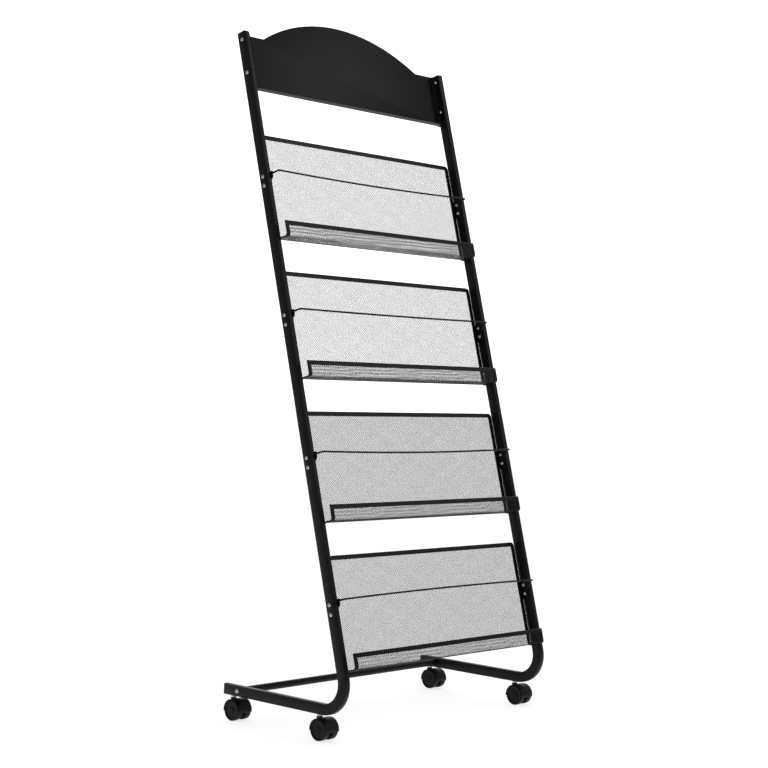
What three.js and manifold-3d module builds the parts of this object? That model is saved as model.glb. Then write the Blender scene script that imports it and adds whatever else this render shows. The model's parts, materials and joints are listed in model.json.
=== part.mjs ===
// Mobile periodical display rack: two leaning tube frames on casters carry mesh pockets and an arched header.
// Millimetres, +Z up, +X to the right of someone facing the rack, +Y towards its back, floor at Z = 0.
import * as THREE from "three";
import { mergeGeometries, mergeVertices } from "three/addons/utils/BufferGeometryUtils.js";
import Module from "manifold-3d";

const wasm = await Module();
wasm.setup();

// Side frames: one flat tube each, bent from a leaning post into a level leg
const FRAME_SPACING = 600; // between the centre planes of the two side frames
const TUBE_WIDTH = 13; // across the rack
const TUBE_DEPTH = 22; // in the plane of the bend
const TUBE_EDGE = 1.5; // rounding of the tube's long edges
const TUBE_WALL = 1.6;
const LEAN_DEGREES = 15; // of the post, backwards from upright
const BEND_RADIUS = 52; // on the tube's centre line
const POST_LENGTH = 1391; // from where post and leg centre lines would meet to the tube's upper end
const LEG_LENGTH = 351; // from the same point to the tube's rear end

// Plastic end caps of the tubes
const CAP_HEAD = 2.5;
const CAP_PLUG = 12;

// Rear crossbar and its end bolts
const CROSSBAR_DIAMETER = 15;
const CROSSBAR_FROM_REAR = 39; // bar's centre line from the legs' rear ends
const BOLT_DIAMETER = 5;
const BOLT_HEAD_DIAMETER = 10;
const BOLT_HEAD_HEIGHT = 2.8;
const BOLT_GRIP = 18; // thread length inside the crossbar
const BOLT_SOCKET = 3; // across the flats of the hexagon
const BOLT_SOCKET_DEPTH = 1.6;

// Mesh pockets: one sheet each, bent into back, floor and lip inside a folded rim
const POCKET_COUNT = 4;
const FIRST_POCKET_GAP = 96; // from the header's foot down to the top pocket's upper edge
const LAST_POCKET = 306.5; // upper edge of the lowest pocket, along the posts
const POCKET_SIDE_GAP = 2.2; // between a pocket's side and the post
const BACK_HEIGHT = 227.5; // from the pocket's upper edge to its underside
const FLOOR_DEPTH = 39.6; // outside, from the back's rear face to the lip's front face
const LIP_HEIGHT = 33;
const POCKET_BEND = 6; // bend radius on the sheet's middle
const POCKET_CORNER = 9; // rounding of the back's upper corners, at the rim's outer edge
const BACK_SETBACK = 11; // rear face of the pocket's back behind the posts' centre lines
const MESH_THICKNESS = 1;
const MESH_BAR = 3; // width of the bars between the mesh's gaps
const MESH_COLUMNS = 12;
const MESH_ROWS = 4; // in the back; floor and lip have one row each
const RIM_WIDTH = 9;
const RIM_SHEET = 0.8;

// Brackets that bolt the pockets to the posts, and the guard wires welded to them
const BRACKET_TOP = 86; // below the pocket's upper edge
const BRACKET_HEIGHT = 41;
const BRACKET_FRONT = 15; // of the tab that carries the wire, in front of the posts' centre lines
const BRACKET_TAB = 12; // height of that tab
const BRACKET_TAPER = 7; // by which the front edge falls back below the tab
const BRACKET_CORNER = 3;
const WIRE_DIAMETER = 3.8;
const WIRE_DROP = 89.7; // below the pocket's upper edge
const WIRE_REACH = 29.4; // in front of the posts' centre lines
const WIRE_CORNER = 5.5;
const WIRE_LAP = 10; // overlap of the wire's end with the bracket, behind the bracket's front edge
const WIRE_SAG = [4.2, 1.5, 4.2, -2.6]; // of each wire's middle, from the top pocket down

// Header: a sheet with an arched top, its sides and foot folded forward
const HEADER_SIDE = 121; // height of the sides, which end level with the post caps
const HEADER_RISE = 65.5; // of the arch above the shoulders
const HEADER_ARCH = 470; // chord of the arch
const HEADER_SHEET = 1.5;
const HEADER_BEND = 7; // inside radius of the side bends
const HEADER_FLANGE = 20.5; // side flanges, outside
const HEADER_HEM = 16; // foot flange, outside
const HEADER_HEM_BEND = 2.5; // inside radius of the foot bend
const HEADER_RELIEF = 1; // slot between the foot flange and each side bend
const HEADER_CORNER = 4; // front corners of the side flanges
const HEADER_SETBACK = 10; // rear face behind the posts' centre lines

// Twin-wheel casters
const WHEEL_DIAMETER = 42;
const WHEEL_WIDTH = 13;
const WHEEL_DISH = 2; // depth of the ring recess in the outer face
const WHEEL_RIM = 4.5; // from the tread to that recess
const WHEEL_EDGE = 1.4;
const WHEEL_GAP = 0.5; // between a wheel and the web
const WEB_WIDTH = 10;
const HOOD_GAP = 0.8; // between tread and hood
const HOOD_SHELL = 1.5;
const HOOD_SKIRT_DEGREES = 8; // the hood's ends below the axle's level
const CASTER_TRAIL = 13; // axle behind the swivel axis
const AXLE_DIAMETER = 4;
const AXLE_HUB = 7; // hub radius round the axle
const BOSS_DIAMETER = 12;
const BOSS_RISE = 0.5; // of the boss above the hood's top
const STEM_PIN = 8; // diameter in the leg
const STEM_PIN_LENGTH = 13;
const STEM_TAIL = 6; // diameter in the hood
const STEM_TAIL_LENGTH = 14;
const STEM_COLLAR = 11;
const STEM_COLLAR_HEIGHT = 3.1; // between the boss and the leg
const FRONT_CASTER = 79; // from where post and leg centre lines would meet
const REAR_CASTER_INSET = 21.5; // from the legs' rear ends

const CLEARANCE = 0.3; // between pieces that touch

// Derived places
const lean = THREE.MathUtils.degToRad(LEAN_DEGREES);
const postInner = FRAME_SPACING / 2 - TUBE_WIDTH / 2;
const rearCaster = LEG_LENGTH - REAR_CASTER_INSET;
const crossbarAt = LEG_LENGTH - CROSSBAR_FROM_REAR;
const headerShoulder = POST_LENGTH + CAP_HEAD;
const headerFoot = headerShoulder - HEADER_SIDE;
const firstPocket = headerFoot - FIRST_POCKET_GAP;
const pocketPitch = (firstPocket - LAST_POCKET) / Math.max(POCKET_COUNT - 1, 1);
const pocketHalf = postInner - POCKET_SIDE_GAP;
const rimThickness = MESH_THICKNESS + 2 * (CLEARANCE + RIM_SHEET);
const wheelInner = WEB_WIDTH / 2 + WHEEL_GAP;
const hoodInner = WHEEL_DIAMETER / 2 + HOOD_GAP;
const hoodOuter = hoodInner + HOOD_SHELL;
const hoodHalf = wheelInner + WHEEL_WIDTH;
const axleHeight = WHEEL_DIAMETER / 2;
const bossTop = axleHeight + hoodOuter + BOSS_RISE;
const legUnderside = bossTop + STEM_COLLAR_HEIGHT + 2 * CLEARANCE;
const legHeight = legUnderside + TUBE_DEPTH / 2; // centre line of the legs above the floor

// Materials
const blackPaint = new THREE.MeshStandardMaterial({ color: 0x151516, roughness: 0.38, metalness: 0.1 });
const blackMesh = new THREE.MeshStandardMaterial({ color: 0x1b1b1c, roughness: 0.5, metalness: 0.1 });
const greyPaint = new THREE.MeshStandardMaterial({ color: 0x2a2a2b, roughness: 0.6, metalness: 0.1 });
const blackPlastic = new THREE.MeshStandardMaterial({ color: 0x101011, roughness: 0.5, metalness: 0 });
const wheelPlastic = new THREE.MeshStandardMaterial({ color: 0x18181a, roughness: 0.55, metalness: 0 });
const zinc = new THREE.MeshStandardMaterial({ color: 0xc8cacc, roughness: 0.3, metalness: 1 });

// A closed geometry as a solid for joining and cutting
function solid(geometry) {
  const bare = geometry.index ? geometry.toNonIndexed() : geometry.clone();
  bare.deleteAttribute("normal");
  bare.deleteAttribute("uv");
  const merged = mergeVertices(bare, 1e-4);
  const vertProperties = merged.attributes.position.array;
  const triVerts = new Uint32Array(merged.index.array);
  return new wasm.Manifold(new wasm.Mesh({ numProp: 3, vertProperties, triVerts }));
}

// A solid as a geometry again
function surface(body) {
  const mesh = body.getMesh();
  const geometry = new THREE.BufferGeometry();
  geometry.setAttribute("position", new THREE.BufferAttribute(new Float32Array(mesh.vertProperties), 3));
  geometry.setIndex(new THREE.BufferAttribute(new Uint32Array(mesh.triVerts), 1));
  geometry.computeVertexNormals();
  return geometry;
}

// A shape drawn in Y and Z, extruded along X from low to high, with its edges rounded by edge
function acrossX(shape, low, high, edge = 0, segments = 6) {
  const geometry = new THREE.ExtrudeGeometry(shape, {
    depth: high - low - 2 * edge,
    curveSegments: segments,
    bevelEnabled: edge > 0,
    bevelThickness: edge,
    bevelSize: edge,
    bevelOffset: -edge,
    bevelSegments: 2,
  });
  const turn = new THREE.Matrix4().makeBasis(
    new THREE.Vector3(0, 1, 0),
    new THREE.Vector3(0, 0, 1),
    new THREE.Vector3(1, 0, 0),
  );
  return geometry.applyMatrix4(turn).translate(low + edge, 0, 0);
}

// A shape drawn in X and Z, extruded along Y from low to high
function acrossY(shape, low, high, segments = 6) {
  const geometry = new THREE.ExtrudeGeometry(shape, {
    depth: high - low,
    curveSegments: segments,
    bevelEnabled: false,
  });
  return geometry.rotateX(Math.PI / 2).translate(0, high, 0);
}

// A block between two corners
function block(x0, x1, y0, y1, z0, z1) {
  const geometry = new THREE.BoxGeometry(x1 - x0, y1 - y0, z1 - z0);
  return geometry.translate((x0 + x1) / 2, (y0 + y1) / 2, (z0 + z1) / 2);
}

// A cylinder along X, or along Z
function rodX(radius, low, high, y, z, sides = 16) {
  const geometry = new THREE.CylinderGeometry(radius, radius, high - low, sides);
  return geometry.rotateZ(-Math.PI / 2).translate((low + high) / 2, y, z);
}
function rodZ(radius, low, high, x, y, sides = 16) {
  const geometry = new THREE.CylinderGeometry(radius, radius, high - low, sides);
  return geometry.rotateX(Math.PI / 2).translate(x, y, (low + high) / 2);
}

// A closed polygon whose corners are rounded
function roundedPolygon(corners, radius) {
  const shape = new THREE.Shape();
  corners.forEach((corner, i) => {
    const before = corners[(i + corners.length - 1) % corners.length];
    const after = corners[(i + 1) % corners.length];
    const from = before.clone().sub(corner).setLength(radius).add(corner);
    const to = after.clone().sub(corner).setLength(radius).add(corner);
    if (i === 0) shape.moveTo(from.x, from.y);
    else shape.lineTo(from.x, from.y);
    shape.quadraticCurveTo(corner.x, corner.y, to.x, to.y);
  });
  shape.closePath();
  return shape;
}

// A rectangle about the origin with rounded corners
function roundedRectangle(width, height, radius) {
  const x = width / 2;
  const y = height / 2;
  const corners = [
    new THREE.Vector2(-x, -y),
    new THREE.Vector2(x, -y),
    new THREE.Vector2(x, y),
    new THREE.Vector2(-x, y),
  ];
  return roundedPolygon(corners, radius);
}

// A path through given stations, so that long straight runs take no needless steps
class StationPath extends THREE.Curve {
  constructor(stations) {
    super();
    this.stations = stations;
  }
  getPoint(share) {
    const place = share * (this.stations.length - 1);
    const i = Math.min(Math.floor(place + 1e-9), this.stations.length - 2);
    return this.stations[i].clone().lerp(this.stations[i + 1], place - i);
  }
  getPointAt(share) {
    return this.getPoint(share);
  }
  getTangentAt(share) {
    const i = Math.round(share * (this.stations.length - 1));
    const before = this.stations[Math.max(i - 1, 0)];
    const here = this.stations[i];
    const after = this.stations[Math.min(i + 1, this.stations.length - 1)];
    const into = here.clone().sub(before).normalize();
    const out = after.clone().sub(here).normalize();
    return into.add(out).normalize();
  }
}

const root = new THREE.Group();
const rack = new THREE.Group(); // origin on the floor under the meeting point of post and leg centre lines
const upright = new THREE.Group(); // leaning: local Z along the posts, local Y square to them, backwards
upright.position.set(0, 0, legHeight);
upright.rotation.x = -lean;
rack.add(upright);
root.add(rack);

function piece(group, name, geometry, material) {
  const mesh = new THREE.Mesh(geometry, material);
  mesh.name = name;
  group.add(mesh);
  return mesh;
}

// Side frames
function postPoint(along, back) {
  const y = along * Math.sin(lean) + back * Math.cos(lean);
  const z = legHeight + along * Math.cos(lean) - back * Math.sin(lean);
  return new THREE.Vector2(y, z);
}

function sideFrame() {
  const half = TUBE_DEPTH / 2;
  const tangent = BEND_RADIUS * Math.tan((Math.PI / 2 + lean) / 2);
  const centre = new THREE.Vector2(tangent, legHeight + BEND_RADIUS);
  const outline = new THREE.Shape();
  outline.moveTo(LEG_LENGTH, legHeight - half);
  outline.lineTo(tangent, legHeight - half);
  outline.absarc(centre.x, centre.y, BEND_RADIUS + half, -Math.PI / 2, -Math.PI - lean, true);
  outline.lineTo(...postPoint(POST_LENGTH, -half));
  outline.lineTo(...postPoint(POST_LENGTH, half));
  outline.lineTo(...postPoint(tangent, half));
  outline.absarc(centre.x, centre.y, BEND_RADIUS - half, -Math.PI - lean, -Math.PI / 2, false);
  outline.lineTo(LEG_LENGTH, legHeight + half);
  outline.closePath();
  let tube = solid(acrossX(outline, -TUBE_WIDTH / 2, TUBE_WIDTH / 2, TUBE_EDGE, 12));
  const mouth = roundedRectangle(TUBE_WIDTH - 2 * TUBE_WALL, TUBE_DEPTH - 2 * TUBE_WALL, TUBE_EDGE);
  const socketDepth = CAP_PLUG + 2 * CLEARANCE;
  const socket = { depth: 2 * socketDepth, bevelEnabled: false, curveSegments: 2 };
  const upper = new THREE.ExtrudeGeometry(mouth, socket);
  upper.translate(0, 0, POST_LENGTH - socketDepth).rotateX(-lean).translate(0, 0, legHeight);
  const rear = new THREE.ExtrudeGeometry(mouth, socket);
  rear.rotateX(-Math.PI / 2).translate(0, LEG_LENGTH - socketDepth, legHeight);
  tube = tube.subtract(solid(upper)).subtract(solid(rear));
  for (const y of [FRONT_CASTER, rearCaster]) {
    const top = legUnderside + STEM_PIN_LENGTH + CLEARANCE;
    tube = tube.subtract(solid(rodZ(STEM_PIN / 2 + CLEARANCE, legUnderside - 5, top, 0, y)));
  }
  const hole = rodX(BOLT_DIAMETER / 2 + CLEARANCE, -TUBE_WIDTH, TUBE_WIDTH, crossbarAt, legHeight);
  return surface(tube.subtract(solid(hole)));
}

// End cap: a plug with a rounded head, standing on its lower end at Z = 0 of the tube's end
function endCap() {
  const gap = TUBE_WALL + CLEARANCE;
  const head = roundedRectangle(TUBE_WIDTH, TUBE_DEPTH, TUBE_EDGE);
  const edge = Math.min(TUBE_EDGE, CAP_HEAD - 2 * CLEARANCE) / 2;
  const headSolid = new THREE.ExtrudeGeometry(head, {
    depth: CAP_HEAD - CLEARANCE - 2 * edge,
    curveSegments: 2,
    bevelThickness: edge,
    bevelSize: edge,
    bevelOffset: -edge,
    bevelSegments: 2,
  });
  headSolid.translate(0, 0, CLEARANCE + edge);
  const plug = roundedRectangle(TUBE_WIDTH - 2 * gap, TUBE_DEPTH - 2 * gap, TUBE_EDGE);
  const plugSolid = new THREE.ExtrudeGeometry(plug, {
    depth: CAP_PLUG + CLEARANCE + edge,
    curveSegments: 2,
    bevelEnabled: false,
  });
  plugSolid.translate(0, 0, -CAP_PLUG);
  return surface(solid(headSolid).add(solid(plugSolid)));
}

const frameGeometry = sideFrame();
const capGeometry = endCap();
for (const [side, sign] of [["left", -1], ["right", 1]]) {
  const x = (sign * FRAME_SPACING) / 2;
  piece(rack, "side_frame_" + side, frameGeometry, blackPaint).position.x = x;
  piece(upright, "post_cap_" + side, capGeometry, blackPlastic).position.set(x, 0, POST_LENGTH);
  const legCap = piece(rack, "leg_cap_" + side, capGeometry, blackPlastic);
  legCap.position.set(x, LEG_LENGTH, legHeight);
  legCap.rotation.x = -Math.PI / 2;
}

// Rear crossbar: a round bar with a threaded hole in each end, held by a bolt through each leg
function crossbar() {
  const half = postInner - CLEARANCE;
  let bar = solid(rodX(CROSSBAR_DIAMETER / 2, -half, half, 0, 0, 20));
  for (const sign of [-1, 1]) {
    const deep = half - BOLT_GRIP - CLEARANCE;
    const low = Math.min(sign * deep, sign * (half + 5));
    const high = Math.max(sign * deep, sign * (half + 5));
    bar = bar.subtract(solid(rodX(BOLT_DIAMETER / 2 + CLEARANCE, low, high, 0, 0)));
  }
  return surface(bar);
}

// Bolt along +X: its head's seat at X = 0, its thread running to +X
function bolt(length) {
  const r = BOLT_HEAD_DIAMETER / 2;
  const profile = [
    new THREE.Vector2(0, -BOLT_HEAD_HEIGHT),
    new THREE.Vector2(r * 0.55, -BOLT_HEAD_HEIGHT),
    new THREE.Vector2(r * 0.85, -BOLT_HEAD_HEIGHT * 0.65),
    new THREE.Vector2(r, -CLEARANCE),
    new THREE.Vector2(r, 0),
    new THREE.Vector2(BOLT_DIAMETER / 2, 0),
    new THREE.Vector2(BOLT_DIAMETER / 2, length),
    new THREE.Vector2(0, length),
  ];
  const turned = new THREE.LatheGeometry(profile, 16).rotateZ(-Math.PI / 2);
  const corner = BOLT_SOCKET / Math.sqrt(3);
  const hexagon = rodX(corner, -BOLT_HEAD_HEIGHT - 1, -BOLT_HEAD_HEIGHT + BOLT_SOCKET_DEPTH, 0, 0, 6);
  return surface(solid(turned).subtract(solid(hexagon)));
}

piece(rack, "rear_crossbar", crossbar(), blackPaint).position.set(0, crossbarAt, legHeight);
const crossbarBolt = bolt(CLEARANCE + TUBE_WIDTH + CLEARANCE + BOLT_GRIP);
for (const [side, sign] of [["left", -1], ["right", 1]]) {
  const mesh = piece(rack, "crossbar_bolt_" + side, crossbarBolt, zinc);
  mesh.position.set(sign * (FRAME_SPACING / 2 + TUBE_WIDTH / 2 + CLEARANCE), crossbarAt, legHeight);
  mesh.rotation.z = sign > 0 ? Math.PI : 0;
}

// Pocket profile in the leaning frame: a band of the given thickness along the bent sheet's middle.
// The inset shortens it at the back's upper edge and at the lip's upper edge.
const backMiddle = BACK_SETBACK - rimThickness / 2;
const lipMiddle = BACK_SETBACK - FLOOR_DEPTH + rimThickness / 2;
const floorMiddle = -BACK_HEIGHT + rimThickness / 2;

function pocketBand(thickness, inset) {
  const half = thickness / 2;
  const turnAt = floorMiddle + POCKET_BEND;
  const lipTop = -BACK_HEIGHT + LIP_HEIGHT - inset;
  const outer = POCKET_BEND + half;
  const inner = POCKET_BEND - half;
  const band = new THREE.Shape();
  band.moveTo(backMiddle + half, -inset);
  band.lineTo(backMiddle + half, turnAt);
  band.absarc(backMiddle - POCKET_BEND, turnAt, outer, 0, -Math.PI / 2, true);
  band.lineTo(lipMiddle + POCKET_BEND, floorMiddle - half);
  band.absarc(lipMiddle + POCKET_BEND, turnAt, outer, -Math.PI / 2, -Math.PI, true);
  band.lineTo(lipMiddle - half, lipTop);
  band.lineTo(lipMiddle + half, lipTop);
  band.lineTo(lipMiddle + half, turnAt);
  band.absarc(lipMiddle + POCKET_BEND, turnAt, inner, -Math.PI, -Math.PI / 2, false);
  band.lineTo(backMiddle - POCKET_BEND, floorMiddle + half);
  band.absarc(backMiddle - POCKET_BEND, turnAt, inner, -Math.PI / 2, 0, false);
  band.lineTo(backMiddle - half, -inset);
  band.closePath();
  return band;
}

function pocketSolid(thickness, inset) {
  const half = pocketHalf - inset;
  const band = solid(acrossX(pocketBand(thickness, inset), -half, half, 0, 2));
  const corner = POCKET_CORNER - inset;
  if (corner < 1) return band;
  const outline = new THREE.Shape();
  outline.moveTo(-half - 1, -BACK_HEIGHT - 1);
  outline.lineTo(half + 1, -BACK_HEIGHT - 1);
  outline.lineTo(half + 1, -inset - corner);
  outline.lineTo(half, -inset - corner);
  outline.absarc(half - corner, -inset - corner, corner, 0, Math.PI / 2, false);
  outline.lineTo(half - corner, 1);
  outline.lineTo(corner - half, 1);
  outline.absarc(corner - half, -inset - corner, corner, Math.PI / 2, Math.PI, false);
  outline.lineTo(-half - 1, -inset - corner);
  outline.closePath();
  const reach = FLOOR_DEPTH + BACK_SETBACK;
  return band.intersect(solid(acrossY(outline, -reach, reach, 3)));
}

// Rim: the folded hem round the sheet's edges, open towards the sheet
function pocketRim() {
  const whole = pocketSolid(rimThickness, 0);
  const slot = pocketSolid(MESH_THICKNESS + 2 * CLEARANCE, RIM_SHEET);
  const window = pocketSolid(rimThickness + 2, RIM_WIDTH);
  return surface(whole.subtract(slot).subtract(window));
}

// Mesh: the bent sheet with a row of gaps in lip and floor and several rows in the back
function pocketMesh() {
  const sheet = pocketSolid(MESH_THICKNESS, RIM_SHEET + CLEARANCE);
  const edge = pocketHalf - RIM_WIDTH;
  const pitch = (2 * edge - MESH_BAR) / MESH_COLUMNS;
  const low = floorMiddle + POCKET_BEND + MESH_BAR / 2;
  const high = -RIM_WIDTH - MESH_BAR;
  const rise = (high - low + MESH_BAR) / MESH_ROWS;
  const through = MESH_THICKNESS;
  const lipHigh = -BACK_HEIGHT + LIP_HEIGHT - RIM_WIDTH;
  const gaps = [];
  for (let column = 0; column < MESH_COLUMNS; column += 1) {
    const x0 = -edge + MESH_BAR + column * pitch;
    const x1 = x0 + pitch - MESH_BAR;
    for (let row = 0; row < MESH_ROWS; row += 1) {
      const z0 = low + row * rise;
      gaps.push(block(x0, x1, backMiddle - through, backMiddle + through, z0, z0 + rise - MESH_BAR));
    }
    const front = lipMiddle + POCKET_BEND + MESH_BAR / 2;
    const rear = backMiddle - POCKET_BEND - MESH_BAR / 2;
    gaps.push(block(x0, x1, front, rear, floorMiddle - through, floorMiddle + through));
    gaps.push(block(x0, x1, lipMiddle - through, lipMiddle + through, low, lipHigh));
  }
  return surface(sheet.subtract(solid(mergeGeometries(gaps))));
}

// Bracket: a plate between the pocket's side and the post
const bracketThickness = POCKET_SIDE_GAP - 2 * CLEARANCE;

function bracket() {
  const top = -BRACKET_TOP;
  const bottom = top - BRACKET_HEIGHT;
  const corners = [
    new THREE.Vector2(BACK_SETBACK, bottom),
    new THREE.Vector2(BACK_SETBACK, top),
    new THREE.Vector2(-BRACKET_FRONT, top),
    new THREE.Vector2(-BRACKET_FRONT, top - BRACKET_TAB),
    new THREE.Vector2(-BRACKET_FRONT + BRACKET_TAPER, top - BRACKET_TAB - BRACKET_TAPER),
    new THREE.Vector2(-BRACKET_FRONT + BRACKET_TAPER, bottom),
  ];
  const plate = roundedPolygon(corners, BRACKET_CORNER);
  return acrossX(plate, -bracketThickness / 2, bracketThickness / 2, 0, 3);
}

// Guard wire: from one bracket forward, across the front and back to the other bracket
function guardWire(sag) {
  const half = pocketHalf - WIRE_DIAMETER / 2;
  const end = -BRACKET_FRONT + WIRE_LAP;
  const stations = [new THREE.Vector3(-half, end, -WIRE_DROP)];
  const steps = 4;
  for (let i = 0; i <= steps; i += 1) {
    const angle = Math.PI + (i / steps) * (Math.PI / 2);
    const x = -half + WIRE_CORNER + WIRE_CORNER * Math.cos(angle);
    const y = -WIRE_REACH + WIRE_CORNER + WIRE_CORNER * Math.sin(angle);
    stations.push(new THREE.Vector3(x, y, -WIRE_DROP));
  }
  const run = half - WIRE_CORNER;
  const parts = 6;
  for (let i = 1; i <= parts / 2; i += 1) {
    const x = -run + (2 * run * i) / parts;
    const drop = sag * (1 - (x / run) ** 2);
    stations.push(new THREE.Vector3(x, -WIRE_REACH, -WIRE_DROP - drop));
  }
  const mirrored = stations.slice(0, -1).reverse();
  for (const station of mirrored) {
    stations.push(new THREE.Vector3(-station.x, station.y, station.z));
  }
  const section = new THREE.Shape();
  section.absarc(0, 0, WIRE_DIAMETER / 2, 0, 2 * Math.PI, false);
  return new THREE.ExtrudeGeometry(section, {
    steps: stations.length - 1,
    curveSegments: 4,
    extrudePath: new StationPath(stations),
  });
}

const rimGeometry = pocketRim();
const meshGeometry = pocketMesh();
const bracketGeometry = bracket();
for (let i = 0; i < POCKET_COUNT; i += 1) {
  const number = i + 1;
  const pocket = new THREE.Group();
  pocket.position.z = firstPocket - i * pocketPitch;
  upright.add(pocket);
  piece(pocket, "pocket_rim_" + number, rimGeometry, blackPaint);
  piece(pocket, "pocket_mesh_" + number, meshGeometry, blackMesh);
  const bracketX = pocketHalf + POCKET_SIDE_GAP / 2;
  piece(pocket, "bracket_left_" + number, bracketGeometry, blackPaint).position.x = -bracketX;
  piece(pocket, "bracket_right_" + number, bracketGeometry, blackPaint).position.x = bracketX;
  piece(pocket, "guard_wire_" + number, guardWire(WIRE_SAG[i % WIRE_SAG.length]), blackPaint);
}

// Header, seen from above: face sheet and side flanges with round bends between them
function headerPlan(half) {
  const back = HEADER_SETBACK;
  const front = back - HEADER_FLANGE;
  const inner = HEADER_BEND;
  const outer = HEADER_BEND + HEADER_SHEET;
  const plan = new THREE.Shape();
  plan.moveTo(-half, front);
  plan.lineTo(-half + HEADER_SHEET, front);
  plan.absarc(-half + outer, back - outer, inner, Math.PI, Math.PI / 2, true);
  plan.absarc(half - outer, back - outer, inner, Math.PI / 2, 0, true);
  plan.lineTo(half - HEADER_SHEET, front);
  plan.lineTo(half, front);
  plan.absarc(half - outer, back - outer, outer, 0, Math.PI / 2, false);
  plan.absarc(-half + outer, back - outer, outer, Math.PI / 2, Math.PI, false);
  plan.closePath();
  return plan;
}

// Its foot, seen from the side: the sheet bent forward
function headerFootBend() {
  const back = HEADER_SETBACK;
  const inner = HEADER_HEM_BEND;
  const outer = HEADER_HEM_BEND + HEADER_SHEET;
  const bend = new THREE.Shape();
  bend.moveTo(back, headerFoot + 2 * outer);
  bend.absarc(back - outer, headerFoot + outer, outer, 0, -Math.PI / 2, true);
  bend.lineTo(back - HEADER_HEM, headerFoot);
  bend.lineTo(back - HEADER_HEM, headerFoot + HEADER_SHEET);
  bend.absarc(back - outer, headerFoot + outer, inner, -Math.PI / 2, 0, false);
  bend.lineTo(back - HEADER_SHEET, headerFoot + 2 * outer);
  bend.closePath();
  return bend;
}

function header() {
  const half = postInner - CLEARANCE;
  const back = HEADER_SETBACK;
  const front = back - HEADER_FLANGE;
  const folded = new THREE.ExtrudeGeometry(headerPlan(half), {
    depth: headerShoulder - headerFoot,
    curveSegments: 5,
    bevelEnabled: false,
  });
  const sides = new THREE.Shape();
  sides.moveTo(back + 1, headerFoot);
  sides.lineTo(back + 1, headerShoulder);
  sides.lineTo(front + HEADER_CORNER, headerShoulder);
  sides.quadraticCurveTo(front, headerShoulder, front, headerShoulder - HEADER_CORNER);
  sides.lineTo(front, headerFoot + HEADER_CORNER);
  sides.quadraticCurveTo(front, headerFoot, front + HEADER_CORNER, headerFoot);
  sides.closePath();
  const bounds = solid(acrossX(sides, -half - 1, half + 1, 0, 3));
  let sheet = solid(folded.translate(0, 0, headerFoot)).intersect(bounds);
  const chord = HEADER_ARCH / 2;
  const radius = (chord ** 2 + HEADER_RISE ** 2) / (2 * HEADER_RISE);
  const centre = headerShoulder + HEADER_RISE - radius;
  const start = Math.atan2(headerShoulder - centre, chord);
  const arch = new THREE.Shape();
  arch.moveTo(-chord, headerShoulder - HEADER_RISE);
  arch.lineTo(chord, headerShoulder - HEADER_RISE);
  arch.absarc(0, centre, radius, start, Math.PI - start, false);
  arch.closePath();
  sheet = sheet.add(solid(acrossY(arch, back - HEADER_SHEET, back, 18)));
  const hemBend = HEADER_HEM_BEND + HEADER_SHEET;
  const hemHalf = half - HEADER_BEND - HEADER_SHEET - HEADER_RELIEF;
  const cut = hemHalf + HEADER_RELIEF;
  const corner = block(-cut, cut, back - HEADER_HEM, back + 1, headerFoot - 1, headerFoot + hemBend);
  sheet = sheet.subtract(solid(corner));
  return surface(sheet.add(solid(acrossX(headerFootBend(), -hemHalf, hemHalf, 0, 4))));
}

piece(upright, "header_sign", header(), greyPaint);

// Casters, each in its own frame: origin on the floor under the swivel axis, the wheels trailing to the front
function casterHood() {
  const skirt = THREE.MathUtils.degToRad(HOOD_SKIRT_DEGREES);
  const shell = new THREE.Shape();
  shell.absarc(-CASTER_TRAIL, axleHeight, hoodOuter, -skirt, Math.PI + skirt, false);
  shell.absarc(-CASTER_TRAIL, axleHeight, hoodInner, Math.PI + skirt, -skirt, true);
  shell.closePath();
  const web = new THREE.Shape();
  const middle = (hoodInner + hoodOuter) / 2;
  web.absarc(-CASTER_TRAIL, axleHeight, middle, -skirt, Math.PI + skirt, false);
  web.absarc(-CASTER_TRAIL, axleHeight, AXLE_HUB, Math.PI + skirt, 2 * Math.PI - skirt, false);
  web.closePath();
  let hood = solid(acrossX(shell, -hoodHalf, hoodHalf, 0, 8));
  hood = hood.add(solid(acrossX(web, -WEB_WIDTH / 2, WEB_WIDTH / 2, 0, 8)));
  const rise = Math.sqrt(middle ** 2 - (CASTER_TRAIL + BOSS_DIAMETER / 2) ** 2);
  const boss = solid(rodZ(BOSS_DIAMETER / 2, axleHeight, bossTop, 0, 0));
  const under = block(-BOSS_DIAMETER, BOSS_DIAMETER, -BOSS_DIAMETER, BOSS_DIAMETER, 0, axleHeight + rise);
  const wheels = solid(rodX(middle, -hoodHalf, hoodHalf, -CASTER_TRAIL, axleHeight, 48));
  hood = hood.add(boss.subtract(wheels).subtract(solid(under)));
  const socketFloor = bossTop - STEM_TAIL_LENGTH - CLEARANCE;
  hood = hood.subtract(solid(rodZ(STEM_TAIL / 2 + CLEARANCE, socketFloor, bossTop + 5, 0, 0)));
  const hole = rodX(AXLE_DIAMETER / 2 + CLEARANCE, -WEB_WIDTH, WEB_WIDTH, -CASTER_TRAIL, axleHeight);
  return surface(hood.subtract(solid(hole)));
}

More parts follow.
